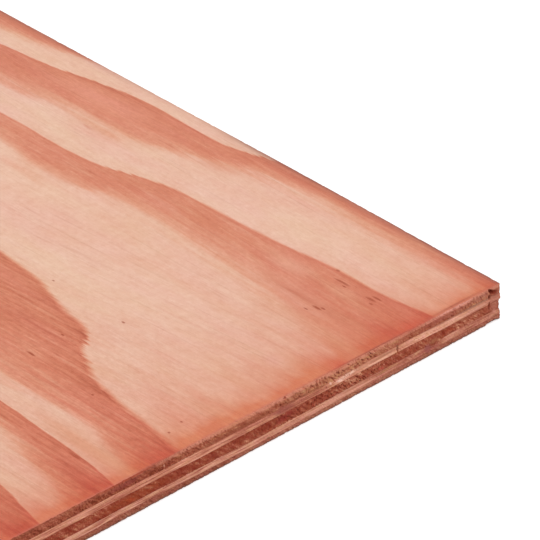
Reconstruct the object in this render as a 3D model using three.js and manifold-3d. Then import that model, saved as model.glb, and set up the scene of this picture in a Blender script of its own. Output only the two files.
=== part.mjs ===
// A 4 ft x 8 ft sheet of five-ply softwood plywood, lying flat with its face side up.
//
// Rotary-cut veneers are glued in a stack, each with its grain crossed on the one below it. The
// face, the core and the back run along the sheet and the two crossbands run across it. The glued
// stack is sawn to size in one cut, so all the veneers share one outline. The saw left a few
// splinters torn out of the end by one corner.
//
// Millimetres, +Z up. The origin is the middle of the underside, +X is along the face grain.

import * as THREE from 'three';
import { mergeVertices } from 'three/addons/utils/BufferGeometryUtils.js';
import Module from 'manifold-3d';

// Sheet
const sheetLength = 2438.4; // 8 ft, along the face grain
const sheetWidth = 1219.2; // 4 ft

// Veneer thicknesses, 11.9 mm together
const backThickness = 1.7;
const lowerCrossbandThickness = 2.0;
const coreThickness = 3.2;
const upperCrossbandThickness = 2.0;
const faceThickness = 3.0;

// Tear-outs in the end at +X. Each is a boat-shaped hollow that a splinter left: how far its
// middle is from the long edge at +Y, how high it is above its veneer's underside, its length,
// width and depth, and how steeply it climbs away from that edge, in degrees. The splinter came
// out of the middle of the face veneer, the check lies just under the top of the core, and the gap
// parts the crossband through its whole thickness.
const checkBelowTop = 0.7;
const gapOverrun = 0.4; // past each side of the crossband
const cornerSplinter = {
  fromEdge: 2.8,
  height: faceThickness / 2,
  length: 3.6,
  width: 1.3,
  depth: 1.1,
  climb: 39,
};
const cornerCheck = {
  fromEdge: 3.6,
  height: coreThickness - checkBelowTop,
  length: 2.4,
  width: 0.4,
  depth: 0.9,
  climb: 85,
};
const crossbandGap = {
  fromEdge: 39.2,
  height: upperCrossbandThickness / 2,
  length: upperCrossbandThickness + 2 * gapOverrun,
  width: 0.6,
  depth: 1.4,
  climb: 84,
};

// The stack, from the underside up. Veneers that run across the sheet show their long fibres at
// the end, and those that run along it show darker end grain there.
const stack = [
  { name: 'back_veneer', thickness: backThickness, color: '#c98a6b', roughness: 0.8, tearOuts: [] },
  {
    name: 'lower_crossband',
    thickness: lowerCrossbandThickness,
    color: '#bf7f68',
    roughness: 0.85,
    tearOuts: [],
  },
  {
    name: 'core_veneer',
    thickness: coreThickness,
    color: '#914a37',
    roughness: 0.95,
    tearOuts: [cornerCheck],
  },
  {
    name: 'upper_crossband',
    thickness: upperCrossbandThickness,
    color: '#be8069',
    roughness: 0.85,
    tearOuts: [crossbandGap],
  },
  {
    name: 'face_veneer',
    thickness: faceThickness,
    color: '#dea685',
    roughness: 0.7,
    tearOuts: [cornerSplinter],
  },
];

const tearOutSides = 16; // segments round a tear-out's hollow

const wasm = await Module();
wasm.setup();

// A closed three.js geometry as a solid that can be cut.
function solidOf(geometry) {
  const bare = geometry.clone();
  bare.deleteAttribute('normal');
  bare.deleteAttribute('uv');
  const merged = mergeVertices(bare, 1e-5);
  return new wasm.Manifold(
    new wasm.Mesh({
      numProp: 3,
      vertProperties: new Float32Array(merged.attributes.position.array),
      triVerts: new Uint32Array(merged.index.array),
    }),
  );
}

// A cut solid as a flat-shaded three.js geometry.
function geometryOf(solid) {
  const mesh = solid.getMesh();
  const geometry = new THREE.BufferGeometry();
  geometry.setAttribute('position', new THREE.BufferAttribute(mesh.vertProperties, 3));
  geometry.setIndex(new THREE.BufferAttribute(mesh.triVerts, 1));
  const flat = geometry.toNonIndexed();
  flat.computeVertexNormals();
  return flat;
}

// A flat, square-edged veneer whose underside is at z = 0.
function veneerBlank(thickness) {
  const outline = new THREE.Shape();
  outline.moveTo(-sheetLength / 2, -sheetWidth / 2);
  outline.lineTo(sheetLength / 2, -sheetWidth / 2);
  outline.lineTo(sheetLength / 2, sheetWidth / 2);
  outline.lineTo(-sheetLength / 2, sheetWidth / 2);
  outline.closePath();
  return new THREE.ExtrudeGeometry(outline, { depth: thickness, bevelEnabled: false });
}

// The body of a splinter: an ellipsoid lying in the plane of the end, sunk to its depth.
function splinter({ fromEdge, height, length, width, depth, climb }) {
  const body = new THREE.SphereGeometry(1, tearOutSides, tearOutSides / 2);
  body.scale(depth, length / 2, width / 2);
  body.rotateX(-THREE.MathUtils.degToRad(climb));
  body.translate(sheetLength / 2, sheetWidth / 2 - fromEdge, height);
  return body;
}

// One veneer with its splinters torn out, its underside at a given height in the stack.
function veneerMesh({ name, thickness, color, roughness, tearOuts }, underside) {
  let solid = solidOf(veneerBlank(thickness));
  for (const tearOut of tearOuts) solid = solid.subtract(solidOf(splinter(tearOut)));
  const material = new THREE.MeshStandardMaterial({ color, roughness, metalness: 0 });
  const mesh = new THREE.Mesh(geometryOf(solid), material);
  mesh.name = name;
  mesh.position.z = underside;
  return mesh;
}

const plywoodSheet = new THREE.Group();
plywoodSheet.name = 'plywood_sheet';

let underside = 0;
for (const veneer of stack) {
  plywoodSheet.add(veneerMesh(veneer, underside));
  underside += veneer.thickness;
}

export default plywoodSheet;
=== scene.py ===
import math

import bmesh
import bpy
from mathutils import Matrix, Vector


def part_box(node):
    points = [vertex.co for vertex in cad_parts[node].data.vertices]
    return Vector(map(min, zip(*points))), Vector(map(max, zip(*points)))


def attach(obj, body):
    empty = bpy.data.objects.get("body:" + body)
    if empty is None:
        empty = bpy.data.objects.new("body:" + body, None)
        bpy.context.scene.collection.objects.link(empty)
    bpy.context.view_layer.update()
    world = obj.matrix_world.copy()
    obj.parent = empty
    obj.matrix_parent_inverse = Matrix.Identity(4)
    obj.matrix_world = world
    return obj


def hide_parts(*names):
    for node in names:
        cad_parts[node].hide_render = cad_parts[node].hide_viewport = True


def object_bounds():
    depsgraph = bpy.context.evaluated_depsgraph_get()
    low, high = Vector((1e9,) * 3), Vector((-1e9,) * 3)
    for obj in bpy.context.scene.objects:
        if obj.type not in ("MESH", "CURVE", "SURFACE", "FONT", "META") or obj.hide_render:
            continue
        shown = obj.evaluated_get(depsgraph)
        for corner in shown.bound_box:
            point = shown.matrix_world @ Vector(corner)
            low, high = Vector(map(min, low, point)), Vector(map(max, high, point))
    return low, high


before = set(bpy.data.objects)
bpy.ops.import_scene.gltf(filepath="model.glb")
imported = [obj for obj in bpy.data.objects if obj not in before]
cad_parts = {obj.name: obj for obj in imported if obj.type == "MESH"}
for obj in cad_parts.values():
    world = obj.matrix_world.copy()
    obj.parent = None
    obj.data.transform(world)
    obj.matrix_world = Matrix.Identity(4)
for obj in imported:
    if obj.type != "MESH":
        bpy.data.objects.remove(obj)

# A sheet of five-ply pine plywood, lying face up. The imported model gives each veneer's box. Each
# veneer is sawn again inside its box with rough edges, and gets its own grain.
# +X runs along the face grain, +Y across the sheet and +Z up. Plain numbers are metres, and names
# that end in Mm are millimetres.

cadLow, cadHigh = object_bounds()
mm = 0.001
endX, longEdgeY, topZ = cadHigh  # the corner by the camera, on the face
lengthMm = (cadHigh.x - cadLow.x) / mm
widthMm = (cadHigh.y - cadLow.y) / mm
outOfSquareMm = 0.9  # the long edge by the camera leans, so the face stops short of the back


# Nodes. Shaders and geometry nodes share these, and they add to the tree that was started last.

class current:
    tree = None


def startTree(tree):
    tree.nodes.clear()
    current.tree = tree


def addNode(kind, inputs=None, **settings):
    node = current.tree.nodes.new(kind)
    for name, value in settings.items():
        setattr(node, name, value)
    for key, value in (inputs or {}).items():
        feed(node.inputs[key], value)
    return node


def feed(socket, value):
    if isinstance(value, bpy.types.NodeSocket):
        current.tree.links.new(value, socket)
    else:
        socket.default_value = value


def maths(operation, a, b=0, c=0):
    node = addNode("ShaderNodeMath", operation=operation)
    for socket, value in zip(node.inputs, (a, b, c)):
        feed(socket, value)
    return node.outputs[0]


def total(first, *others):
    for value in others:
        first = maths("ADD", first, value)
    return first


def product(first, *others):
    for value in others:
        first = maths("MULTIPLY", first, value)
    return first


def linear(value, factor, offset):
    return maths("MULTIPLY_ADD", value, factor, offset)


def remap(value, fromMin, fromMax, toMin=0, toMax=1, smooth=False):
    kind = "SMOOTHSTEP" if smooth else "LINEAR"
    node = addNode("ShaderNodeMapRange", interpolation_type=kind, clamp=True)
    for socket, number in zip(node.inputs, (value, fromMin, fromMax, toMin, toMax)):
        feed(socket, number)
    return node.outputs[0]


def mixValue(factor, a, b):
    node = addNode("ShaderNodeMix", data_type="FLOAT")
    for index, value in ((0, factor), (2, a), (3, b)):
        feed(node.inputs[index], value)
    return node.outputs[0]


def mixColour(factor, a, b, blend="MIX"):
    node = addNode("ShaderNodeMix", data_type="RGBA", blend_type=blend)
    for index, value in ((0, factor), (6, a), (7, b)):
        feed(node.inputs[index], value)
    return node.outputs[2]


def ramp(value, stops):
    node = addNode("ShaderNodeValToRGB", {0: value})
    elements = node.color_ramp.elements
    while len(elements) < len(stops):
        elements.new(0.5)
    for element, (position, colour) in zip(elements, stops):
        element.position = position
        element.color = colour
    return node.outputs[0]


def curve(value, points):
    # A smooth curve through points between 0 and 1, held level past its ends.
    node = addNode("ShaderNodeFloatCurve", {"Factor": 1, "Value": value})
    node.mapping.use_clip = False
    line = node.mapping.curves[0]
    while len(line.points) < len(points):
        line.points.new(0.5, 0.5)
    for point, place in zip(line.points, points):
        point.location = place
        point.handle_type = "AUTO_CLAMPED"
    node.mapping.update()
    return node.outputs[0]


def profile(value, points):
    # A smooth curve through heights at places along the value, held level past its ends.
    low, high = min(points), max(points)
    top = max(points.values())
    unit = [((at - low) / (high - low), height / top) for at, height in points.items()]
    return product(curve(remap(value, low, high), unit), top)


def combine(x, y, z=0):
    node = addNode("ShaderNodeCombineXYZ")
    for socket, value in zip(node.inputs, (x, y, z)):
        feed(socket, value)
    return node.outputs[0]


def separate(vector):
    outputs = addNode("ShaderNodeSeparateXYZ", {0: vector}).outputs
    return outputs[0], outputs[1], outputs[2]


def grain(place, sizes, seed, detail=2, roughness=0.5):
    # Noise with a feature size along each direction of the place. Its middle is about 0.5.
    scaled = addNode("ShaderNodeVectorMath", operation="MULTIPLY_ADD")
    feed(scaled.inputs[0], place)
    feed(scaled.inputs[1], tuple(1 / size for size in sizes))
    feed(scaled.inputs[2], (seed, seed * 2.3, seed * 0.7))
    inputs = {"Vector": scaled.outputs[0], "Scale": 1, "Detail": detail, "Roughness": roughness}
    return addNode("ShaderNodeTexNoise", inputs).outputs[0]


def centred(value, amount):
    # Noise as a change to either side of zero.
    return linear(value, amount, -amount / 2)


def rgb(red, green, blue):
    # A colour from 0 to 255 as the linear value that nodes take.
    levels = [value / 255 for value in (red, green, blue)]
    return (*(c / 12.92 if c <= 0.04045 else ((c + 0.055) / 1.055) ** 2.4 for c in levels), 1)


def fromCornerMm(position):
    # Millimetres from the face's corner by the camera: u along the sheet and v across it, both
    # below zero, and z up from the underside.
    x, y, z = separate(position)
    u = linear(x, 1 / mm, -endX / mm)
    v = linear(y, 1 / mm, outOfSquareMm - longEdgeY / mm)
    return u, v, product(z, 1 / mm)


def edgeDistanceMm(along, sizeMm):
    # How far a place is from the nearer of two opposite edges.
    return maths("MINIMUM", product(along, -1), total(along, sizeMm))


def longEdgeBow(u):
    # How far the face's long edge swings out near the corner, in millimetres.
    bow = {-260: 0, -218: 0.06, -198: 0.15, -156: 0.32, -117: 0.43, -81: 0.52,
           -64: 0.49, -47: 0.36, -31: 0.2, -11: 0.08, 0: 0}
    return profile(u, bow)


def turned(run, rise, degrees):
    # The two directions of a wall, turned so that the first one climbs away from the corner.
    angle = math.radians(degrees)
    side = linear(rise, math.sin(angle), product(run, -math.cos(angle)))
    over = linear(rise, math.cos(angle), product(run, math.sin(angle)))
    return side, over


def ellipse(run, rise, at, size, degrees):
    # The square of how far out a place is in a turned ellipse: 1 on its rim.
    side, over = turned(maths("SUBTRACT", run, at[0]), maths("SUBTRACT", rise, at[1]), degrees)
    return total(product(side, side, 1 / size[0] ** 2), product(over, over, 1 / size[1] ** 2))


def spot(run, rise, at, size, degrees, soft):
    # 1 inside an ellipse and 0 outside it, fading over the soft part of its size.
    return remap(ellipse(run, rise, at, size, degrees), (1 - soft) ** 2, 1, 1, 0, smooth=True)


def haze(run, rise, at, size, degrees, breakUp):
    # Like a spot, but with no edge: it thins out to nothing at about its size.
    reach = ellipse(run, rise, at, size, degrees)
    return maths("EXPONENT", product(reach, linear(breakUp, -3, -1.5)))


def onNearEnd(u):
    # 1 on the sawn end by the camera, and 0 past its first few millimetres.
    return remap(u, -5, -4)


# Camera and studio

def addCamera():
    settings = {
        "fromCorner": (0.36332, -0.41278, 0.34872),  # from the face's corner
        "lookDown": 32.226,
        "turn": 47.975,
        "lens": 156.67,
    }
    data = bpy.data.cameras.new("camera")
    data.lens = settings["lens"]
    data.sensor_width = 36
    camera = bpy.data.objects.new("camera", data)
    bpy.context.scene.collection.objects.link(camera)
    x, y, z = settings["fromCorner"]
    camera.location = (endX + x, longEdgeY - outOfSquareMm * mm + y, topZ + z)
    tilt = math.radians(90 - settings["lookDown"])
    camera.rotation_euler = (tilt, 0, math.radians(settings["turn"]))
    bpy.context.scene.camera = camera
    print("camera placed")


def seenDirectly():
    # 1 for rays from the camera, also by way of a reflection or glass.
    rays = addNode("ShaderNodeLightPath").outputs
    seen = maths("MAXIMUM", rays["Is Camera Ray"], rays["Is Glossy Ray"])
    return maths("MAXIMUM", seen, rays["Is Transmission Ray"])


def newMaterial(name):
    material = bpy.data.materials.new(name)
    material.use_nodes = True
    startTree(material.node_tree)
    return material


def addStudio():
    settings = {
        "surround": 0.45,  # light from all round
        "lampStrength": 2.05,
        "lampFrom": (0.5, -0.2, 0.843),  # the way to the lamp
        "lampSpread": 40,  # how wide it looks from the sheet, in degrees
        "floorSize": 60,
        "floorDrop": 0.0003,
        "floorPaint": 0.8,
        "floorLift": 0.35,  # brings the lit floor up to white where it is seen
    }
    world = bpy.data.worlds.new("studio")
    bpy.context.scene.world = world
    world.use_nodes = True
    startTree(world.node_tree)
    strength = mixValue(seenDirectly(), settings["surround"], 1)
    white = addNode("ShaderNodeBackground", {"Strength": strength, "Color": (1, 1, 1, 1)})
    addNode("ShaderNodeOutputWorld", {"Surface": white.outputs[0]})

    lamp = bpy.data.lights.new("softbox", "SUN")
    lamp.energy = settings["lampStrength"]
    lamp.angle = math.radians(settings["lampSpread"])
    softbox = bpy.data.objects.new("softbox", lamp)
    bpy.context.scene.collection.objects.link(softbox)
    softbox.rotation_euler = Vector(settings["lampFrom"]).to_track_quat("Z", "Y").to_euler()

    place = (0, 0, -settings["floorDrop"])
    bpy.ops.mesh.primitive_plane_add(size=settings["floorSize"], location=place)
    floor = bpy.context.object
    floor.name = "floor"
    floor.data.materials.append(newMaterial("paleFloor"))
    paint = addNode("ShaderNodeBsdfDiffuse", {"Color": (*[settings["floorPaint"]] * 3, 1)})
    lift = product(seenDirectly(), settings["floorLift"])
    glow = addNode("ShaderNodeEmission", {"Strength": lift})
    both = addNode("ShaderNodeAddShader", {0: paint.outputs[0], 1: glow.outputs[0]})
    addNode("ShaderNodeOutputMaterial", {"Surface": both.outputs[0]})
    print("studio lit")


# Wood finishes

def woodTones(value, places, *colours):
    # A colour for each place between 0 and 1.
    return ramp(value, [(place, rgb(*colour)) for place, colour in zip(places, colours)])


def finishMaterial(colour, roughness, specular, relief, reliefMm):
    bump = addNode("ShaderNodeBump", {"Height": relief, "Strength": 1, "Distance": reliefMm * mm})
    inputs = {
        "Base Color": colour,
        "Roughness": roughness,
        "Specular IOR Level": specular,
        "Normal": bump.outputs[0],
    }
    surface = addNode("ShaderNodeBsdfPrincipled", inputs)
    addNode("ShaderNodeOutputMaterial", {"Surface": surface.outputs[0]})


faceFigure = {
    # Growth-ring lines near the corner, as u: v in millimetres. Each is half a ring further
    # across the sheet, so they are in turn the faded edge of a dark band and the sharp edge of
    # the next one.
    "firstRing": -1,
    "ringLines": [
        {-260: 0, -216: 0.5, -204: 1.2, -190: 3, -180: 6, -150: 16, 0: 38},
        {-260: -14, -216: -7.2, -204: -5.4, -190: -3.5, -180: -0.5, -165: 4,
         -150: 8, 0: 26},
        {-260: -19, -208: -14.8, -180: -11.2, -166: -8, -140: -5.4, -118: -5.6,
         -100: -2.8, -93: -0.6, -60: 5, 0: 10},
        {-260: -41, -187: -32, -160: -26.5, -140: -26.5, -127: -22.5, -110: -16.2,
         -93: -9.6, -77: -7, -43: -5.8, 0: -5.2},
        {-260: -44, -170: -43.2, -127: -41, -107: -35.4, -90: -33, -72: -32.3,
         -57: -30.9, -37: -28.6, -23: -28.4, 0: -25.7},
        {-260: -50, -153: -55.4, -137: -59.2, -122: -56.4, -110: -50.2, -85: -48.8,
         -68: -48.4, -55: -48.2, -40: -50.4, -20: -52.2, 0: -54},
        {-260: -88, -102: -92.7, -87: -94, -72: -97.7, -58: -99.8, -52: -105.2,
         -43: -110.8, -30: -114, -13: -115.3, 0: -116.5},
        {-260: -132, -100: -132, -53: -130.7, -40: -127.3, -23: -125.7, -10: -128.2,
         0: -129.3},
        {-260: -137, -45: -135.7, -18: -134.8, 0: -136},
        {-260: -142, -33: -144, -20: -146.5, 0: -149},
        {-260: -155, -18: -157, 0: -158.7},
        {-260: -172, 0: -172},
    ],
    "linesU": (-260, 0),
    "linesV": (-200, 40),
    "linesReach": (330, 240),  # how far they go before the wider figure takes over
    # How dark the bands are across the sheet, and how much the wood near the end is darkened.
    "bandDepth": {-200: 0.62, -140: 0.54, -115: 0.57, -60: 0.5, -38: 0.45, -20: 0.55,
                  40: 0.56},
    "endDarkeningDepth": {-200: 1.2, -130: 1.25, -118: 1, -108: 1.45, -95: 1.35, -82: 1.2,
                  -62: 1.4, -48: 1.4, -34: 1.1, -22: 1.05, -8: 1.15, 40: 1.1},
    "fibreSlope": (0.045, 0.145),  # how much the fibres climb to the near end, outside and inside
    "slopeBetween": (-42, -78),
    # Resin canals: u, v, half length and half width.
    "flecks": [
        (-29.6, -31.9, 3.8, 0.62),
        (-27.6, -33, 1, 0.3),
        (-17.2, -30.6, 2.2, 0.6),
        (-18, -32.1, 2.6, 0.55),
        (-16.4, -33.6, 1, 0.45),
        (-24.9, -45.9, 2.2, 0.62),
        (-23.4, -44.9, 1.1, 0.5),
        (-26.5, -48.4, 1.1, 0.32),
        (-34.7, -28.6, 0.9, 0.6),
        (-54.4, -89.4, 0.9, 0.42),
        (-83.6, -90.6, 0.7, 0.42),
        (-59, -116.8, 2, 0.5),
        (-60.6, -105.2, 0.9, 0.42),
        (-33.5, -116.4, 0.6, 0.5),
        (-9.2, -107.2, 0.55, 0.45),
        (-7.8, -112.4, 0.55, 0.45),
        (-16, -136, 2.6, 0.5),
    ],
    # Odd stains: u, v, half length, half width, slant, strength, and red, green and blue.
    "stains": [
        (-155, -14.5, 46, 8, 3, 0.45, 238, 164, 140),
        (0.5, -33, 6.5, 10, 0, 0.75, 206, 90, 66),
        (0.5, -60, 5.5, 5.5, 0, 0.8, 203, 88, 62),
        (0.5, -119, 8, 5.5, 0, 0.65, 196, 84, 62),
        (-6, -53.5, 16, 5.5, -8, 0.55, 214, 140, 108),
        (-27, -50.2, 13, 3.2, -4, 0.6, 214, 136, 112),
        (-46, -36.5, 14, 6, 2, 0.62, 232, 168, 144),
        (-20, -131.5, 36, 4, 2, 0.6, 217, 144, 113),
        (-55, -2.8, 42, 2.6, 0, 0.4, 206, 118, 88),
        (-25, -35.5, 11, 5, 2, 0.3, 230, 168, 142),
        (-101, -14.5, 13, 5, 14, 0.45, 214, 136, 108),
        (-141, -30, 14, 3.5, 6, 0.4, 222, 152, 124),
        (-14, -72, 5, 3.5, 0, 0.45, 226, 158, 146),
        (-34, -45.2, 11, 0.9, 1, 0.6, 192, 108, 80),
        (-27, -45, 26, 3.2, 1, 0.45, 198, 118, 90),
        (-13, -43, 9, 0.9, 6, 0.35, 196, 112, 84),
        (-147, -28.7, 5, 0.9, 0, 0.5, 206, 124, 100),
        (-124, -45.8, 3, 0.9, 4, 0.6, 186, 100, 72),
        (-89, -76.3, 32, 0.7, 7, 0.4, 212, 158, 134),
        (-42, -76.2, 24, 0.7, 8, 0.25, 216, 152, 134),
        (-48, -61.6, 5, 0.5, 2, 0.4, 208, 150, 122),
        (-118, -72, 6, 0.5, 4, 0.35, 206, 148, 122),
        (-104, -79.5, 9, 0.6, 6, 0.4, 206, 146, 118),
        (-75, -102, 14, 0.8, 5, 0.45, 232, 162, 136),
        (-70, -107.5, 12, 0.7, 4, 0.45, 192, 106, 80),
        (-0.85, -17, 0.75, 17, 0, 0.8, 172, 92, 70),
        (-0.25, -48, 0.7, 26, 0, 0.8, 160, 78, 58),
        (-0.2, -124, 0.6, 9, 0, 0.6, 160, 78, 58),
    ],
    "ringGap": 70,
    "seed": 4,
    "wood": ((239, 201, 180), (233, 187, 164), (224, 158, 130), (214, 134, 106), (205, 121, 93),
             (184, 98, 72)),
    "endWood": ((219, 137, 102), (213, 124, 91), (206, 107, 76), (198, 94, 69), (189, 82, 60),
                (166, 66, 48)),
    "resin": rgb(150, 56, 20),
    "rimTint": rgb(196, 112, 96),
    "sideTint": rgb(150, 88, 74),
    "sideShade": {-330: 0.5, -260: 0.65, -205: 0.7, -185: 0.6, -165: 0.4, -135: 0.3,
                  -112: 0.65, -95: 0.95, -40: 1, 0: 0.85},
    "reliefMm": 0.16,
}

backFigure = {
    "ringLines": [],
    "fibreSlope": (-0.03, -0.03),
    "slopeBetween": (-1, -2),
    "flecks": [],
    "stains": [],
    "ringGap": -95,
    "seed": 21,
    "wood": ((231, 188, 164), (224, 173, 147), (213, 148, 121), (200, 125, 98), (190, 112, 86),
             (168, 90, 67)),
    "endWood": ((212, 145, 110), (206, 131, 98), (197, 112, 84), (188, 97, 75), (178, 84, 64),
                (154, 66, 50)),
    "resin": rgb(126, 66, 46),
    "rimTint": rgb(176, 102, 86),
    "sideTint": rgb(150, 88, 74),
    "reliefMm": 0.22,
}


# What both flat sides share. Lengths are in millimetres.
figureLook = {
    "tonePlaces": (0, 0.15, 0.42, 0.62, 0.78, 1),  # from pale wood to a dark band
    "climbLength": 200,  # how far in from the near end the fibres climb
    "wander": 44,
    "teeth": 9,  # how far the fibres pull a band's edge along the sheet, and waves across it
    "waves": 2.2,
    "bandDepth": 0.58,
    "bandRim": 0.24,
    "pale": 0.14,  # the tone between the bands
    "lines": 0.7,
    "toneChanges": (0.2, 0.2, 0.12, 0.14, 0.34),  # by cloud, patchy, fine, mottle and zones
    "coarseAt": (-104, -88),  # below this v, lines and pores are stronger
    "coarseLines": 1.9,
    "coarsePores": 1.5,
    "endDarkeningFades": (6, 30),  # the darker wood by the ends fades quickly, then slowly
    "slowEndDarkening": 0.45,
    "poreTint": (0.75, 1, 1.2),  # how much red, green and blue the pores take away
    "tinted": 0.8,
    "resinCell": (21, 2.1),
    "resin": 0.8,
    # Painted shade at the arris, partly its own darker tone: how fast it fades, and how strong it is
    # on the back.
    "grubbyFade": 0.85,
    "grubby": 0.5,
    "roughness": (0.16, 0.56),  # how much fine lines change it, and the least
    "specular": 0.3,
}

# Noise along the fibres of a flat side: feature sizes in millimetres, seed, and where they are
# not the usual ones, detail and roughness.
figureGrain = {
    "teeth": ((12, 0.8), 1, 3),
    "waves": ((24, 8), 2),
    "fine": ((7, 0.36), 4, 3, 0.65),
    "streaks": ((24, 1.2), 7, 3, 0.55),
    "broad": ((80, 3), 5),
    "cloud": ((70, 16), 6),
    "mottle": ((1.9, 1.1), 8, 3, 0.7),
    "patchy": ((12, 5), 10),
    "zones": ((520, 110), 13),
    "hairs": ((38, 0.5), 14),
    "tints": ((26, 7), 11),
}


def ringsNearCorner(u, v):
    # Counts rings across the sheet by where a place lies between the ring lines.
    low, high = faceFigure["linesU"]
    bottom, top = faceFigure["linesV"]
    across = remap(u, low, high)
    up = remap(v, bottom, top)
    lines = []
    for points in faceFigure["ringLines"]:
        unit = [
            ((a - low) / (high - low), (b - bottom) / (top - bottom)) for a, b in points.items()
        ]
        lines.append(curve(across, unit))
    rings = faceFigure["firstRing"]
    for upper, lower in zip(lines, lines[1:]):
        rings = total(rings, remap(up, upper, lower, 0, 0.5))
    return rings


def ringsOverSheet(u, v, settings):
    # Contours of a long, low relief, as peeling a log leaves them.
    place = combine(u, v)
    broad = grain(place, (900, 180, 1), settings["seed"], detail=1)
    middle = grain(place, (230, 45, 1), settings["seed"] + 3.1)
    slope = maths("DIVIDE", v, -settings["ringGap"])
    return total(slope, centred(broad, 8), centred(middle, 1.1))


def peeledFigure(name, settings):
    # Peeled pine: pale wood with salmon growth bands, sharp on one side and faded on the other.
    material = newMaterial(name)
    u, v, z = fromCornerMm(addNode("ShaderNodeTexCoord").outputs["Object"])
    look = figureLook
    seed = settings["seed"]
    byCorner = bool(settings["ringLines"])

    # Fibres run nearly along the sheet. They climb a little, and wander.
    outside, inside = settings["fibreSlope"]
    reach = look["climbLength"]
    slope = remap(v, *settings["slopeBetween"], outside, inside, smooth=True)
    drawnIn = maths("EXPONENT", maths("DIVIDE", u, reach))
    climb = product(slope, maths("SUBTRACT", 1, drawnIn), reach)
    wander = grain(combine(u, v), (420, 160, 1), seed + 9)
    fibres = combine(u, total(v, climb, centred(wander, look["wander"])))
    teeth, waves, fine, streaks, broad, cloud, mottle, patchy, zones, hairs, tints = (
        grain(fibres, (*sizes, 1), seed + own, *rest) for sizes, own, *rest in figureGrain.values()
    )

    # The fibres pull a band's slanting edge out into teeth.
    bandU = total(u, centred(teeth, look["teeth"]))
    bandV = total(v, centred(waves, look["waves"]))
    rings = ringsOverSheet(bandU, bandV, settings)
    depth = look["bandDepth"]
    endDarkeningScale = 1
    if byCorner:
        squares = [
            maths("POWER", maths("DIVIDE", maths("ABSOLUTE", way), size), 2)
            for way, size in zip((u, v), settings["linesReach"])
        ]
        near = remap(maths("SQRT", total(*squares)), 0.85, 1.35, 1, 0, smooth=True)
        rings = mixValue(near, rings, ringsNearCorner(bandU, bandV))
        depth = mixValue(near, depth, profile(v, settings["bandDepth"]))
        nearEnd = product(near, remap(u, -60, -30))
        endDarkeningScale = mixValue(nearEnd, endDarkeningScale, profile(v, settings["endDarkeningDepth"]))
        zones = mixValue(near, zones, 0.5)

    # A band starts at once, with a darker rim, and fades out over the next part of the ring.
    ring = maths("FRACT", total(rings, 0.02))
    start = remap(ring, 0, 0.03, smooth=True)
    rim = remap(ring, 0.02, 0.055, look["bandRim"], 0)
    spread = total(ring, centred(broad, 0.3), centred(streaks, 0.12))
    fade = remap(spread, 0.2, 0.66, 1, 0, smooth=True)
    fade = mixValue(0.35, fade, remap(spread, 0.42, 0.58, 1, 0, smooth=True))
    dark = product(total(fade, rim), start, depth)
    lines = product(centred(streaks, look["lines"]), linear(dark, 0.9, 0.14))
    if byCorner:
        lines = product(lines, remap(v, *look["coarseAt"], look["coarseLines"], 1))
    tone = total(dark, look["pale"], lines)
    for noise, amount in zip((cloud, patchy, fine, mottle, zones), look["toneChanges"]):
        tone = total(tone, centred(noise, amount))

    # The wood is warmer and darker towards the sawn ends.
    fromEnd = edgeDistanceMm(u, lengthMm)
    endDarkenings = [maths("EXPONENT", maths("DIVIDE", fromEnd, -size)) for size in look["endDarkeningFades"]]
    endDarkening = mixValue(look["slowEndDarkening"], *endDarkenings)
    endDarkening = product(endDarkening, endDarkeningScale, linear(patchy, 0.6, 0.7))
    woods = [woodTones(tone, look["tonePlaces"], *settings[wood]) for wood in ("wood", "endWood")]
    colour = mixColour(maths("MINIMUM", endDarkening, 1), *woods)
    rubbed = product(remap(fromEnd, 0.1, 0.9, 1, 0), remap(mottle, 0.3, 0.6, 0.3, 0.7))
    colour = mixColour(rubbed, colour, settings["rimTint"])
    for atU, atV, halfLength, halfWidth, slant, amount, *paint in settings["stains"]:
        stain = haze(u, bandV, (atU, atV), (halfLength, halfWidth), -slant, patchy)
        stain = product(stain, amount, linear(streaks, 0.8, 0.6))
        colour = mixColour(stain, colour, rgb(*paint))

    # Pores show most in the dark bands. They take more blue away than red.
    pores = total(centred(fine, 0.14), centred(mottle, 0.21))
    pores = product(pores, linear(dark, 1.2, 1))
    pores = product(pores, remap(v, *look["coarseAt"], look["coarsePores"], 1))
    pores = total(pores, remap(hairs, 0.6, 0.72, 0, 0.1))
    shades = [linear(pores, -amount, 1) for amount in look["poreTint"]]
    colour = mixColour(1, colour, combine(*shades), blend="MULTIPLY")
    tint = ramp(tints, [(0.3, (1, 0.955, 0.985, 1)), (0.7, (0.985, 0.995, 0.93, 1))])
    colour = mixColour(look["tinted"], colour, tint, blend="MULTIPLY")

    # Resin canals are short dark dashes along the fibres.
    scaled = addNode("ShaderNodeVectorMath", operation="MULTIPLY")
    feed(scaled.inputs[0], fibres)
    feed(scaled.inputs[1], (*(1 / size for size in look["resinCell"]), 1))
    inputs = {"Vector": scaled.outputs[0], "Scale": 1}
    cells = addNode("ShaderNodeTexVoronoi", inputs, voronoi_dimensions="2D")
    picked = remap(separate(cells.outputs["Color"])[0], 0.97, 0.975)
    picked = product(picked, remap(dark, 0.12, 0.35, 0.35, 1))
    dash = product(picked, remap(cells.outputs["Distance"], 0.04, 0.15, 1, 0))
    if byCorner:
        dash = product(dash, maths("SUBTRACT", 1, near))
    for atU, atV, halfLength, halfWidth in settings["flecks"]:
        mark = spot(u, v, (atU, atV), (halfLength, halfWidth), -2, 1)
        dash = maths("MAXIMUM", dash, product(mark, remap(fine, 0.3, 0.6, 0.4, 1)))
    colour = mixColour(product(dash, look["resin"]), colour, settings["resin"])

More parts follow.
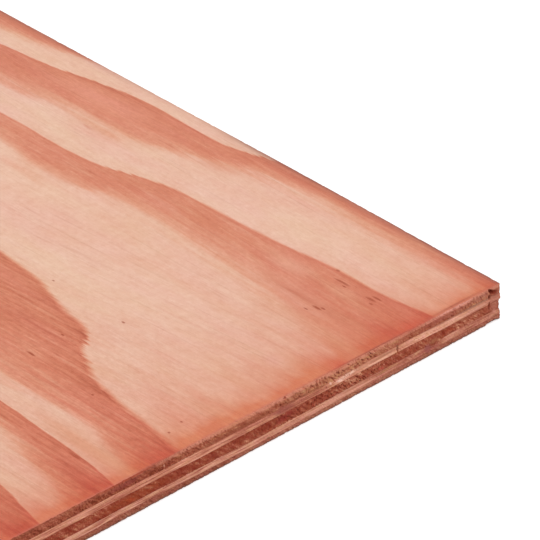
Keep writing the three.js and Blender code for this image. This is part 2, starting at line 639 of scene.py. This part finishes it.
    # The sides are darker and a little greyer at the arris: partly the arris's own darker tone,
    # partly painted shade of the rounded arris.
    side = maths("SUBTRACT", v, longEdgeBow(u) if byCorner else outOfSquareMm)
    fromSide = edgeDistanceMm(side, widthMm - (outOfSquareMm if byCorner else 0))
    grubby = maths("EXPONENT", product(fromSide, -look["grubbyFade"]))
    grubby = product(grubby, remap(streaks, 0.3, 0.6, 0.9, 1.3))
    shade = profile(u, settings["sideShade"]) if byCorner else look["grubby"]
    grubby = product(grubby, shade)
    colour = mixColour(grubby, colour, settings["sideTint"])

    relief = total(product(fine, 0.6), product(streaks, 0.3), mottle)
    roughness = linear(fine, *look["roughness"])
    finishMaterial(colour, roughness, look["specular"], relief, settings["reliefMm"])
    return material


def fibrePlace(u, v, z, alongX):
    # The same place with its first direction along the ply's fibres.
    return combine(u, v, z) if alongX else combine(v, u, z)


# Sawn edges: the slant of the torn fibres, how strong the saw's strokes are, how far in the near
# corner is, and the tones across and along the fibres. On the near end, how light (nearEnd) and
# how pitted the wood is at each v. Lengths are in millimetres.
endWoods = {
    "face_veneer": {
        "seed": 2,
        "tearAngle": 52,
        "strokes": 0.65,
        "cornerLoss": 0.12,
        "across": ((0, 0.3, 0.55, 0.8, 1), (122, 52, 34), (161, 83, 61), (180, 107, 82),
                   (204, 138, 104), (228, 168, 134)),
        "along": ((0, 0.3, 0.55, 0.8, 1), (150, 84, 62), (184, 112, 86), (208, 142, 114),
                  (222, 164, 137), (236, 186, 162)),
        "nearEnd": {-150: 0.34, -127: 0.25, -112: 0.44, -88: 0.46, -68: 0.72, -58: 0.71,
                    -45: 0.6, -37: 0.48, -25: 0.42, -8: 0.64, 0: 0.5},
        "pitted": {-150: 0.3, -130: 0.35, -108: 0.7, -95: 0.15, -84: 0.6, -76: 1,
                   -52: 1.1, -44: 0.35, -28: 0.25, -16: 0.7, 0: 0.5},
        "arris": rgb(220, 142, 118),
        "arrisKept": {-140: 0.1, -126: 0.25, -121: 0.6, -117: 0.65, -106: 1, -88: 1,
                      -62: 0.85, -50: 0.75, -36: 0.7, -26: 1, -14: 1, -7: 0.75, 0: 0.8},
    },
    "upper_crossband": {
        "seed": 5,
        "tearAngle": 44,
        "strokes": 1.05,
        "cornerLoss": 0,
        "across": ((0, 0.3, 0.55, 0.8, 1), (112, 54, 40), (148, 80, 62), (172, 104, 84),
                   (194, 130, 108), (212, 154, 132)),
        "along": ((0, 0.3, 0.55, 0.75, 1), (160, 84, 66), (181, 107, 87), (206, 134, 109),
                  (221, 152, 126), (242, 178, 154)),
        "nearEnd": {-150: 0.66, -125: 0.52, -109: 0.72, -98: 0.44, -88: 0.58, -78: 0.36,
                    -67: 0.58, -55: 0.78, -42: 0.65, -27: 0.98, -12: 0.68, 0: 0.46},
    },
    "core_veneer": {
        "seed": 8,
        "tearAngle": 52,
        "strokes": 1.2,
        "cornerLoss": 0.15,
        "across": ((0, 0.3, 0.5, 0.7, 1), (136, 50, 34), (148, 67, 48), (159, 79, 58),
                   (178, 102, 78), (216, 152, 122)),
        "along": ((0, 0.3, 0.5, 0.7, 1), (142, 76, 56), (176, 104, 80), (198, 130, 104),
                  (212, 150, 124), (230, 176, 150)),
        "nearEnd": {-150: 0.45, -94: 0.43, -82: 0.54, -68: 0.46, -56: 0.76, -42: 0.6,
                    -24: 0.58, -14: 0.78, -6: 0.6, 0: 0.56},
        "pitted": {-150: 0.4, -100: 0.5, -76: 0.9, -52: 1, -44: 0.5, -30: 0.4, -10: 0.45,
                   0: 0.5},
    },
    "lower_crossband": {
        "seed": 11,
        "tearAngle": 48,
        "strokes": 1.15,
        "cornerLoss": 0.05,
        "across": ((0, 0.3, 0.55, 0.8, 1), (112, 54, 40), (148, 80, 62), (170, 102, 82),
                   (192, 128, 106), (210, 152, 130)),
        "along": ((0, 0.3, 0.55, 0.75, 1), (158, 84, 68), (179, 106, 87), (203, 134, 111),
                  (217, 154, 130), (240, 178, 156)),
        "nearEnd": {-150: 0.69, -133: 0.65, -124: 0.54, -104: 0.78, -94: 0.6, -80: 0.74,
                    -60: 0.72, -47: 0.5, -33: 0.5, -25: 0.26, -19: 0.56, -12: 0.4,
                    0: 0.42},
    },
    "back_veneer": {
        "seed": 14,
        "tearAngle": 52,
        "strokes": 0.75,
        "cornerLoss": 0,
        "across": ((0, 0.35, 0.55, 0.8, 1), (124, 60, 44), (158, 88, 70), (170, 106, 86),
                   (190, 128, 106), (208, 152, 130)),
        "along": ((0, 0.3, 0.55, 0.8, 1), (144, 78, 58), (178, 106, 82), (200, 132, 106),
                  (216, 156, 130), (230, 178, 152)),
        "nearEnd": {-150: 0.38, -125: 0.53, -112: 0.42, -88: 0.63, -60: 0.56, -30: 0.54,
                    -16: 0.45, 0: 0.58},
        "pitted": {-150: 0.4, 0: 0.4},
        # painted shade along the bottom edge
        "underside": rgb(104, 70, 58),
    },
}


# Stains, chips and pits on the near end, and painted shade in some of its torn places: v and z in
# millimetres, half sizes, slant, strength, and red, green and blue.
endStainsAndShade = [
    (-1.6, 6.6, 2.3, 4.8, 0, 0.6, 184, 118, 99),
    (-1.6, 8.9, 1.8, 0.6, 4, 0.6, 148, 82, 64),
    (-1.6, 7.55, 1.9, 0.28, 4, 0.6, 210, 142, 122),
    (-1.9, 6.75, 1.9, 0.36, 3, 0.65, 140, 66, 50),
    (-3.7, 5.2, 0.4, 1.2, 4, 0.6, 152, 86, 68),
    (-1.5, 3.4, 1.2, 0.7, 50, 0.6, 216, 144, 126),
    (-3.9, 2.6, 0.4, 1.5, 8, 0.5, 158, 92, 74),
    (-1.2, 1.9, 1.5, 0.6, 10, 0.5, 146, 90, 70),
    (-9.5, 8.7, 9, 0.6, 1, 0.85, 170, 119, 98),
    (-8.5, 7.7, 6.5, 0.6, 0, 0.5, 216, 156, 136),
    (-7.6, 10.4, 4.8, 1.1, 0, 0.55, 170, 106, 92),
    (-5.3, 10.9, 1, 0.28, 50, 0.7, 158, 84, 74),
    (-7.4, 10.4, 1.1, 0.28, 52, 0.7, 150, 82, 68),
    (-9.4, 9.9, 1, 0.26, 55, 0.6, 140, 76, 60),
    (-11.4, 10, 1.3, 0.35, 60, 0.6, 134, 70, 52),
    (-13.3, 9.6, 0.8, 0.3, 45, 0.6, 134, 70, 52),
    (-15.2, 10.6, 1.5, 0.35, 40, 0.6, 136, 74, 56),
    (-8.2, 6.5, 3.6, 0.35, 0, 0.7, 134, 62, 44),
    # Painted shade in the torn hollows by the corner.
    (-2.9, 10.55, 2.3, 0.72, 39, 0.95, 138, 56, 34),
    (-2.1, 9.95, 2.1, 1.05, 12, 0.95, 122, 44, 27),
    (-3.7, 9, 1, 0.5, 85, 0.9, 132, 62, 44),
    (-3.6, 6.3, 1.6, 0.36, 86, 0.8, 140, 62, 44),
    (-19.6, 5.1, 2.6, 0.9, 12, 0.6, 158, 60, 38),
    # Painted shade in a torn place.
    (-21.6, 5.2, 1.5, 0.55, 55, 0.8, 134, 46, 28),
    (-25.5, 4.1, 2.3, 1.6, -8, 0.6, 140, 70, 50),
    (-25.6, 4.2, 1.5, 0.9, -8, 0.8, 178, 112, 80),
    (-27.7, 2.7, 2.1, 1.6, 50, 0.75, 152, 82, 80),
    (-26.6, 2.4, 4, 0.45, 4, 0.6, 168, 94, 82),
    (-31.8, 3.2, 1.8, 0.5, -14, 0.55, 222, 164, 128),
    (-34.6, 2.7, 1.4, 0.4, 30, 0.5, 216, 152, 130),
    (-32.6, 1.4, 1.8, 0.35, 10, 0.6, 140, 76, 60),
    (-34.5, 5.2, 1.4, 0.7, 30, 0.5, 160, 60, 40),
    # Painted shade in the slit in the crossband.
    (-39.3, 7.8, 1.3, 0.3, 84, 0.85, 146, 78, 58),
    (-45.4, 4.4, 1.5, 0.55, 20, 0.65, 186, 76, 66),
    (-44.4, 5.2, 0.5, 0.3, 60, 0.7, 228, 146, 118),
    (-43.5, 3, 4.5, 0.45, -5, 0.6, 170, 122, 72),
    (-39, 6.85, 5, 0.3, 0, 0.6, 166, 92, 56),
    (-45, 8.3, 7.5, 0.65, -1, 0.75, 180, 120, 92),
    (-45.5, 7.3, 7.5, 0.45, -1, 0.75, 244, 186, 158),
    (-53, 8.2, 3.2, 0.9, -5, 0.6, 206, 140, 112),
    (-53.4, 6.7, 0.7, 0.35, 50, 0.7, 236, 170, 138),
    (-58.6, 6.5, 0.7, 0.3, 50, 0.6, 224, 156, 128),
    (-58.6, 7.9, 4.8, 0.95, -6, 0.75, 240, 186, 164),
    (-56.4, 8.2, 1.2, 0.4, -28, 0.8, 255, 204, 180),
    (-60.6, 7.5, 1.5, 0.5, 12, 0.85, 255, 208, 190),
    (-64, 8.2, 0.9, 0.4, 60, 0.8, 250, 196, 176),
    (-57.2, 7.9, 0.6, 0.28, 60, 0.8, 180, 108, 86),
    (-59, 8.5, 0.7, 0.26, 50, 0.8, 176, 104, 82),
    (-55, 8.9, 0.9, 0.3, 45, 0.7, 160, 88, 62),
    (-62.6, 8.4, 0.9, 0.35, 55, 0.8, 160, 78, 58),
    (-65.4, 7.6, 0.8, 0.35, 60, 0.7, 158, 80, 62),
    (-69, 8.3, 4.5, 0.75, -6, 0.6, 170, 100, 72),
    (-72.5, 1.5, 0.9, 0.4, 0, 0.6, 150, 104, 58),
    (-80.5, 7.9, 4.6, 1.5, 0, 0.9, 158, 84, 72),
    (-80, 5.2, 3.8, 1.6, -15, 0.7, 146, 52, 46),
    (-103.5, 7.1, 5.5, 0.3, 0, 0.6, 226, 156, 134),
    (-80, 11.2, 0.5, 0.45, 60, 0.9, 150, 64, 50),
    (-85.7, 1.3, 0.9, 0.4, 0, 0.6, 120, 84, 54),
    (-120.5, 9.9, 0.6, 0.26, 80, 0.85, 226, 162, 136),
    (-131.4, 4.9, 1.9, 0.8, 20, 0.5, 190, 72, 38),
    (-130, 5.2, 16, 1.6, 0, 0.5, 152, 66, 34),
    (-133, 10.4, 6, 1.1, 0, 0.55, 146, 68, 62),
    (-97, 9.25, 17, 0.7, 0, 0.7, 148, 78, 56),
    (-132, 11.6, 13, 0.5, 0, 0.6, 184, 80, 60),
    (-99, 11.6, 9, 0.4, 0, 0.5, 212, 134, 98),
    (-74, 9, 9, 0.5, 0, 0.75, 150, 80, 58),
    (-65, 2.2, 34, 0.5, 0, 0.5, 230, 164, 142),
    (-12, 7.3, 9, 0.4, 0, 0.5, 228, 168, 148),
    (-57, 3.2, 8, 0.5, 0, 0.4, 176, 106, 84),
    (-76, 10.3, 5, 0.9, 0, 0.4, 146, 80, 54),
    (-12, 6.3, 8.5, 0.7, 0, 0.5, 140, 70, 50),
    (-20, 8.75, 11, 0.42, 0, 0.75, 166, 100, 80),
    (-14, 11.1, 7, 0.5, 0, 0.6, 226, 150, 130),
    (-25, 11.2, 6, 0.5, 0, 0.5, 214, 134, 118),
    (-20, 10.2, 12, 1, 0, 0.45, 160, 84, 74),
    (-17.5, 11.6, 9, 0.5, 0, 0.75, 234, 164, 148),
    (-34, 11.6, 6.5, 0.5, 0, 0.6, 194, 104, 84),
    (-61, 11.6, 4, 0.5, 0, 0.5, 196, 108, 80),
    (-73.5, 11.5, 3.5, 0.4, 0, 0.6, 226, 150, 122),
    (-96, 11.2, 8, 0.55, 0, 0.7, 212, 132, 100),
]


sawnLook = {
    # How strong the fine specks and the torn bundles are: across the fibres, and along them.
    "acrossContrast": (0.7, 0.8),
    "alongContrast": (0.8, 0.6),
    "lightness": 0.55,
    "dulled": -0.02,
    # painted shade in the torn hollows
    "sunk": -0.5,  # how much darker a millimetre's depth makes it
    # How strong strokes, specks and bundles are, and what replaces that on the near end.
    "streaked": 1.1,
    "gritty": 1.2,
    "frayed": 0.85,
    "streakedNearEnd": (-90, -70, 1.4, 0.8),
    "grittyNearEnd": {-260: 1.2, -150: 2, -125: 2, -80: 1, 0: 1},
    "frayedNearEnd": (-110, -75, 0.65, 1),
    "tinted": 0.7,
    "glueTint": rgb(120, 62, 46),
    "glue": 0.25,
    "roughness": 0.85,
    "specular": 0.08,
    "reliefMm": 0.25,
}


def fibreBundles(run, z, settings):
    # Torn bundles of fibres that climb away from the corner, each leaning a little differently.
    swerve = centred(grain(combine(run, z), (4, 4, 1), settings["seed"] + 3), 3)
    side, over = turned(maths("ADD", run, swerve), z, settings["tearAngle"])
    return grain(combine(side, over), (1.5, 0.45, 1), settings["seed"] + 2)


def sawnGrain(name, node, alongX, facingX):
    # A sawn edge. Cut across its fibres it is dark and pitted, cut along them it is streaked.
    settings = endWoods[node]
    low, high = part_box(node)
    material = newMaterial(name)
    u, v, z = fromCornerMm(addNode("ShaderNodeTexCoord").outputs["Object"])
    run = v if facingX else u
    edge = combine(run, z)
    look = sawnLook
    seed = settings["seed"]
    layer = addNode("ShaderNodeAttribute", attribute_name="layer").outputs["Fac"]
    torn = addNode("ShaderNodeAttribute", attribute_name="torn").outputs["Fac"]
    place = fibrePlace(u, v, z, alongX)
    bundles = fibreBundles(run, z, settings)
    if alongX == facingX:
        specks = grain(place, (20, 0.5, 0.5), seed, detail=3, roughness=0.65)
        strokes = combine(*turned(run, z, settings["tearAngle"] - 12))
        strokes = grain(strokes, (4.5, 0.9, 1), seed + 6)
        wood = settings["across"]
        speckled, bundled = look["acrossContrast"]
    else:
        specks = grain(place, (9, 0.28, 0.28), seed, detail=3, roughness=0.6)
        strokes = grain(edge, (8, 0.6, 1), seed + 6, detail=3)
        wood = settings["along"]
        speckled, bundled = look["alongContrast"]
    lightness, streaked, gritty, frayed = (
        look[part] for part in ("lightness", "streaked", "gritty", "frayed")
    )
    if facingX:
        near = onNearEnd(u)
        lightness = mixValue(near, lightness, profile(v, settings["nearEnd"]))
        streaked = mixValue(near, streaked, remap(v, *look["streakedNearEnd"]))
        gritty = mixValue(near, gritty, profile(v, look["grittyNearEnd"]))
        frayed = mixValue(near, frayed, remap(v, *look["frayedNearEnd"]))
    # The torn depth darkens the tone: painted shade in the hollows.
    tone = total(
        lightness,
        look["dulled"],
        product(centred(specks, speckled), gritty),
        product(centred(bundles, bundled), frayed),
        centred(grain(edge, (16, 1.8, 1), seed + 1), 0.45),
        product(centred(strokes, settings["strokes"]), streaked),
        product(torn, look["sunk"]),
    )
    colour = woodTones(tone, *wood)
    tints = grain(edge, (2.6, 1.1, 1), seed + 12)
    tint = ramp(tints, [(0.35, (1, 0.93, 1, 1)), (0.65, (0.95, 0.99, 0.84, 1))])
    colour = mixColour(look["tinted"], colour, tint, blend="MULTIPLY")

    # Glue lines, painted shade along the bottom edge where the sheet meets the floor, and the face's
    # arris, which the saw left cleaner.
    glue = remap(layer, 0, 0.08, 1, 0)
    # Painted shade: the lower half of the back ply's edge darkens towards the floor.
    if "underside" in settings:
        lip = remap(layer, 0.5, 0, 0, 1, smooth=True)
        lip = product(lip, remap(bundles, 0.3, 0.6, 0.95, 0.55))
        colour = mixColour(lip, colour, settings["underside"])
    if "arris" in settings:
        lip = remap(layer, 0.54, 0.8, 0, 1, smooth=True)
        lip = product(lip, remap(bundles, 0.3, 0.6, 0.45, 1))
        if facingX:
            lip = product(lip, mixValue(near, 0.7, profile(v, settings["arrisKept"])))
        colour = mixColour(lip, colour, settings["arris"])
    else:
        glue = maths("MAXIMUM", glue, remap(layer, 0.92, 1))
    if facingX:
        for atV, atZ, halfV, halfZ, slant, amount, *paint in endStainsAndShade:
            reach = max(halfV, halfZ)
            if low.z / mm - reach < atZ < high.z / mm + reach:
                stain = spot(v, z, (atV, atZ), (halfV, halfZ), slant, 0.8)
                stain = product(stain, near, amount, remap(bundles, 0.3, 0.55, 0.65, 1))
                colour = mixColour(stain, colour, rgb(*paint))
    colour = mixColour(product(glue, look["glue"]), colour, look["glueTint"])
    relief = total(specks, bundles)
    finishMaterial(colour, look["roughness"], look["specular"], relief, look["reliefMm"])
    return material


# The veneers

sawing = {
    "rowMm": 0.25,
    "cornerMm": 0.6,
    "rimMm": 0.5,
    "fineEndMm": 175,  # from the near corner along the end
    "fineEdgeMm": 240,  # and along the long edge
    # Parts of each stretch: the near end by the corner and beyond, and the far end, then the
    # near edge by the corner and beyond, and the far edge.
    "columns": [(25, 35), (20, 21), (22, 22), (24, 25), (27, 27), (28, 29)],
}


def choose(veneer, kind, test):
    # In edit mode, selects only the edges or faces that pass the test.
    shape = bmesh.from_edit_mesh(veneer.data)
    bpy.ops.mesh.select_all(action="DESELECT")
    for element in getattr(shape, kind):
        if test(element):
            element.select_set(True)
    shape.select_flush_mode()
    bmesh.update_edit_mesh(veneer.data, loop_triangles=False, destructive=False)


def isLevel(edge):
    return abs(edge.verts[0].co.z - edge.verts[1].co.z) < 1e-6


def middle(edge):
    return (edge.verts[0].co + edge.verts[1].co) / 2


def divide(veneer, test, counts):
    # Splits the chosen edges, and the faces between them, in as many parts as the counts' product.
    for count in counts:
        choose(veneer, "edges", test)
        bpy.ops.mesh.subdivide(number_cuts=count - 1)


def sawVeneer(name, node):
    low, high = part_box(node)
    bpy.ops.object.select_all(action="DESELECT")
    bpy.ops.mesh.primitive_cube_add(size=1, location=(low + high) / 2, scale=high - low)
    veneer = bpy.context.object
    veneer.name = name
    veneer.data.name = name
    bpy.ops.object.transform_apply(location=True, rotation=True, scale=True)
    bpy.ops.object.mode_set(mode="EDIT")
    bpy.ops.mesh.select_mode(type="FACE")
    choose(veneer, "faces", lambda face: abs(face.normal.z) > 0.9)
    bpy.ops.mesh.delete(type="ONLY_FACE")

    # Marks off the corners, and the stretches by the camera that are cut finely.
    cornerIn = sawing["cornerMm"] * mm
    fineY = high.y - sawing["fineEndMm"] * mm
    fineX = high.x - sawing["fineEdgeMm"] * mm
    alongMarks = (low.x + cornerIn, fineX, high.x - cornerIn)
    acrossMarks = (low.y + cornerIn, fineY, high.y - cornerIn)
    marks = [((x, 0, 0), (1, 0, 0)) for x in alongMarks]
    marks += [((0, y, 0), (0, 1, 0)) for y in acrossMarks]
    for place, direction in marks:
        bpy.ops.mesh.select_all(action="SELECT")
        bpy.ops.mesh.bisect(plane_co=place, plane_no=direction)

    bpy.ops.mesh.select_mode(type="EDGE")
    rows = round((high.z - low.z) / (sawing["rowMm"] * mm))
    divide(veneer, lambda edge: not isLevel(edge), (rows,))

    def stretch(axis, start, end, wallAxis, wallAt):
        def test(edge):
            place = middle(edge)
            onWall = abs(place[wallAxis] - wallAt) < 1e-5
            return onWall and isLevel(edge) and start < place[axis] < end
        return test

    stretches = [
        (1, fineY, acrossMarks[2], 0, high.x),
        (1, acrossMarks[0], fineY, 0, high.x),
        (1, acrossMarks[0], acrossMarks[2], 0, low.x),
        (0, fineX, alongMarks[2], 1, high.y),
        (0, alongMarks[0], fineX, 1, high.y),
        (0, alongMarks[0], alongMarks[2], 1, low.y),
    ]
    for limits, counts in zip(stretches, sawing["columns"]):
        divide(veneer, stretch(*limits), counts)

    for level in (low.z, high.z):
        choose(veneer, "edges", lambda edge: edge.is_boundary and abs(middle(edge).z - level) < 1e-6)
        bpy.ops.mesh.edge_face_add()
    bpy.ops.mesh.select_mode(type="FACE")
    bpy.ops.mesh.select_all(action="SELECT")
    bpy.ops.mesh.normals_make_consistent(inside=False)
    choose(veneer, "faces", lambda face: abs(face.normal.z) > 0.9)
    bpy.ops.mesh.inset(thickness=sawing["rimMm"] * mm, use_boundary=True)
    bpy.ops.object.mode_set(mode="OBJECT")
    return veneer


def assignFinishes(veneer, finishes):
    # The first finish is for the flat sides, the second for the ends, the third for the long edges.
    for material in finishes:
        veneer.data.materials.append(material)
    bpy.ops.object.mode_set(mode="EDIT")
    for index, axis in ((1, 0), (2, 1)):
        choose(veneer, "faces", lambda face: abs(face.normal[axis]) > 0.9)
        veneer.active_material_index = index
        bpy.ops.object.material_slot_assign()
    bpy.ops.object.mode_set(mode="OBJECT")


# Torn places on the near end: v and z in millimetres, half sizes, slant and depth.
tears = [
    (-3, 10.6, 1.8, 0.6, 39, 0.7),  # under the corner's arris
    (-2.1, 9.95, 1.5, 0.7, 12, 0.35),
    (-3.8, 9.2, 1, 0.34, 85, 0.5),
    (-3.6, 6.2, 1.6, 0.34, 86, 0.5),
    (-39.3, 7.9, 1.4, 0.34, 84, 0.7),  # slit in the crossband
    (-21.7, 5.2, 1.3, 0.45, 55, 0.3),
    (-25.6, 3, 1.6, 0.3, -8, 0.2),
    (-60.5, 5.6, 0.9, 0.35, 55, 0.4),
    (-63.5, 4.8, 0.7, 0.3, 45, 0.4),
    (-67, 6, 1, 0.35, 60, 0.4),
    (-70.5, 5, 0.7, 0.35, 50, 0.4),
    (-80, 11.6, 0.5, 0.35, 0, 0.4),  # chip in the arris
    (-2.2, -0.2, 3, 0.9, 0, 0.42),  # under the corner
]

# How far in the long edge is at each z of the near corner, in millimetres.
cornerOutline = {0: 0, 2: 0.01, 3: 0.26, 4: 0.53, 5: 0.42, 6: 0.62, 6.7: 0.52,
                 7.3: 0.33, 8: 0.54, 9: 0.56, 10: 0.52, 11.5: 0.66, 11.9: 0.72}

# How far each glue line, from the lowest up, dips at each v along the near end, in millimetres.
glueDipsAt = (-150, -131, -118, -102, -88, -72, -57, -42, -28, -12, 0)
glueDips = [
    (-0.2, -0.2, -0.05, 0.1, 0.42, 0.45, 0.3, 0.35, 0.16, None, 0.08),
    (0, 0.02, 0.25, 0.38, 0.55, 0.45, 0.22, 0.08, 0.1, -0.1, -0.05),
    (0, -0.03, 0.1, 0.42, 0.28, 0.3, 0.1, 0.1, 0.18, 0.34, 0.2),
    (-0.1, -0.12, 0.23, 0.26, 0.32, 0.48, 0.27, -0.1, 0.03, 0.1, 0.08),
]


# Depths and widths in millimetres.
wear = {
    "least": 0.02,
    "specks": 0.1,
    "pits": 0.45,
    "streaks": 0.08,
    "steps": 0.09,
    "cleanCorner": (0.45, 0.35),  # what is left of that by the near corner, on the end and the edge
    "cleanArris": 0.2,
    "rubbed": 0.22,  # off each corner
    "rubbedWidth": 1.5,
    "grooveWidth": 0.25,
    "groove": 0.05,
    "faceArris": (0.02, 0.3),  # the least and the most that is worn off
    "backArris": (0, 0.16),
    "wave": 0.3,
    "knot": (-25, 2.4, 0.8),  # where it is along the end, its width and how far it pushes
}


def glueWave(u, v, boundary):
    # How far a glue line wanders up or down. The plies on both sides share it.
    byEnd = remap(u, -8, -2)
    wave = centred(grain(combine(u, v), (11, 11, 1), boundary * 3.7), wear["wave"])
    dips = zip(glueDipsAt, glueDips[boundary - 1])
    dip = profile(v, {at: depth for at, depth in dips if depth is not None})
    wave = maths("SUBTRACT", wave, product(dip, byEnd))
    if boundary == 2:
        # A small knot pushes the core down into the ply below it.
        at, width, push = wear["knot"]
        away = maths("DIVIDE", total(v, -at), width)
        bulge = maths("EXPONENT", product(away, away, -1))
        wave = linear(product(bulge, byEnd), -push, wave)
    return wave


def roughEdges(name, node, order, plies, alongX):
    # Geometry nodes that wear the sawn edges: torn fibres, grooves at the glue lines and chips.
    settings = endWoods[node]
    seed = settings["seed"]
    low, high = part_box(node)
    lowMm, highMm = low.z / mm, high.z / mm
    tree = bpy.data.node_groups.new(name, "GeometryNodeTree")
    tree.interface.new_socket("Geometry", in_out="INPUT", socket_type="NodeSocketGeometry")
    tree.interface.new_socket("Geometry", in_out="OUTPUT", socket_type="NodeSocketGeometry")
    startTree(tree)
    start = addNode("NodeGroupInput").outputs[0]
    position = addNode("GeometryNodeInputPosition").outputs[0]
    x, y, _ = separate(position)
    u, v, z = fromCornerMm(position)
    layer = remap(z, lowMm, highMm)
    fromEnd = edgeDistanceMm(u, lengthMm)
    fromEdge = edgeDistanceMm(maths("SUBTRACT", v, outOfSquareMm), widthMm)
    place = fibrePlace(u, v, z, alongX)

    # Cut across the fibres, the wood is pitted. Cut along them, it is split in long, low steps.
    specks = grain(place, (20, 0.5, 0.5), seed, detail=3, roughness=0.65)
    streaks = grain(place, (9, 0.28, 0.28), seed, detail=3, roughness=0.6)
    steps = remap(grain(place, (26, 0.9, 0.9), seed + 5), 0.53, 0.57)
    along = total(wear["least"], product(streaks, wear["streaks"]), product(steps, wear["steps"]))
    depths = []
    for run in (v, u):
        bundles = fibreBundles(run, z, settings)
        pits = remap(bundles, 0.5, 0.32)
        pitted = remap(grain(combine(run, 0), (16, 1, 1), seed + 6), 0.4, 0.6, 0.3, 0.9)
        if run is v and "pitted" in settings:
            pitted = mixValue(onNearEnd(u), pitted, profile(v, settings["pitted"]))
        pits = product(pits, pitted, wear["pits"])
        across = total(wear["least"], product(specks, wear["specks"]), pits)
        depths.append(across if alongX == (run is v) else along)

    # By the near corner, and along the arrises of the face, the saw left a cleaner cut.
    endLeft, edgeLeft = wear["cleanCorner"]
    endDepth = product(depths[0], remap(v, -3, -0.5, 1, endLeft))
    edgeDepth = product(depths[1], remap(u, -3, -0.5, 1, edgeLeft))
    if order == plies - 1:
        clean = remap(z, highMm - 0.7, highMm - 0.2, 1, wear["cleanArris"])
        endDepth = product(endDepth, clean)
        edgeDepth = product(edgeDepth, clean)

    # The corners are rubbed off. The one by the camera is sharper, but broken unevenly.
    endRub, edgeRub = (
        remap(way, 0, wear["rubbedWidth"], wear["rubbed"], 0, smooth=True)
        for way in (fromEdge, fromEnd)
    )
    atCorner = product(remap(v, -5, -4), onNearEnd(u))
    elsewhere = maths("SUBTRACT", 1, atCorner)
    endLoss, edgeLoss = (
        product(remap(way, -3, 0), atCorner, settings["cornerLoss"]) for way in (v, u)
    )
    endDepth = total(endDepth, product(endRub, elsewhere), endLoss)
    edgeDepth = total(edgeDepth, product(edgeRub, elsewhere), edgeLoss)

    # Grooves at the glue lines, and a worn arris where the ply is the sheet's outside.
    reach = wear["grooveWidth"] / (highMm - lowMm)
    nicks = grain(combine(u, v), (2.5, 2.5, 1), seed + 8)
    for isTop in (False, True):
        fromSide = maths("SUBTRACT", 1, layer) if isTop else layer
        outside = order == (plies - 1 if isTop else 0)
        if outside:
            worn = remap(fromSide, 0, reach * 2, 1, 0)
            least, most = wear["faceArris" if isTop else "backArris"]
            cut = product(worn, remap(nicks, 0.52, 0.75, least, most))
        else:
            cut = product(remap(fromSide, 0, reach, 1, 0), wear["groove"])
        endDepth = total(endDepth, cut)
        edgeDepth = total(edgeDepth, product(cut, 0.7) if outside else cut)

    for atV, atZ, halfV, halfZ, slant, depth in tears:
        if lowMm - 1 < atZ < highMm + 1:
            reach = ellipse(v, z, (atV, atZ), (halfV, halfZ), slant)
            inside = remap(reach, 0.25, 1, depth, 0, smooth=True)
            endDepth = total(endDepth, product(inside, onNearEnd(u)))

    endDepth = maths("MAXIMUM", endDepth, 0)
    edgeDepth = maths("MAXIMUM", edgeDepth, 0)
    rim = sawing["rimMm"] + 0.05
    onEnd = remap(fromEnd, rim, rim + 0.01, 1, 0)
    onEdge = remap(fromEdge, rim, rim + 0.01, 1, 0)
    onWall = remap(maths("MINIMUM", fromEnd, fromEdge), 0.04, 0.05, 1, 0)

    waves = []
    for boundary in (order, order + 1):
        isGlued = 0 < boundary < plies
        waves.append(glueWave(u, v, boundary) if isGlued else 0)
    wave = product(mixValue(layer, *waves), onWall)

    shiftX = product(maths("SIGN", x), onEnd, endDepth, -mm)
    shiftY = product(maths("SIGN", y), onEdge, edgeDepth, -mm)

    # The long edge by the camera leans in towards the face, and steps in and out at the corner.
    atFace = maths("SUBTRACT", outOfSquareMm, longEdgeBow(u))
    straight = remap(z, 0, topZ / mm, 0, atFace)
    stepped = profile(z, cornerOutline)
    lean = mixValue(remap(u, -14, -3, smooth=True), straight, stepped)
    lean = product(lean, remap(v, -8, outOfSquareMm))
    shiftY = linear(lean, -mm, shiftY)
    shift = combine(shiftX, shiftY, product(wave, mm))
    depth = total(product(onEnd, endDepth), product(onEdge, edgeDepth))
    result = start
    for attribute, value in (("layer", layer), ("torn", depth)):
        inputs = {"Geometry": result, "Name": attribute, "Value": value}
        store = addNode("GeometryNodeStoreNamedAttribute", inputs)
        result = store.outputs[0]
    moved = addNode("GeometryNodeSetPosition", {"Geometry": result, "Offset": shift})
    addNode("NodeGroupOutput", {0: moved.outputs[0]})
    return tree


def roughen(veneer, tree):
    modifier = veneer.modifiers.new("roughEdges", "NODES")
    modifier.node_group = tree
    bpy.context.view_layer.objects.active = veneer
    bpy.ops.object.modifier_apply(modifier=modifier.name)
    bpy.ops.object.shade_smooth_by_angle(angle=math.radians(40))


def makeVeneers():
    plies = len(endWoods)
    fromBelow = list(reversed(endWoods))
    for order, node in enumerate(fromBelow):
        alongX = order % 2 == 0
        place, kind = node.split("_")
        name = place + kind.title()
        veneer = sawVeneer(name, node)
        end = sawnGrain(name + "Ends", node, alongX, True)
        edge = sawnGrain(name + "Edges", node, alongX, False)
        flat = end
        if order == plies - 1:
            flat = peeledFigure("faceFigure", faceFigure)
        if order == 0:
            flat = peeledFigure("backFigure", backFigure)
        assignFinishes(veneer, (flat, end, edge))
        roughen(veneer, roughEdges(name + "Wear", node, order, plies, alongX))
        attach(veneer, "root")
        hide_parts(node)
        print(veneer.name, "sawn,", len(veneer.data.polygons), "faces")


bpy.context.scene.view_settings.view_transform = "Standard"
addCamera()
addStudio()
makeVeneers()
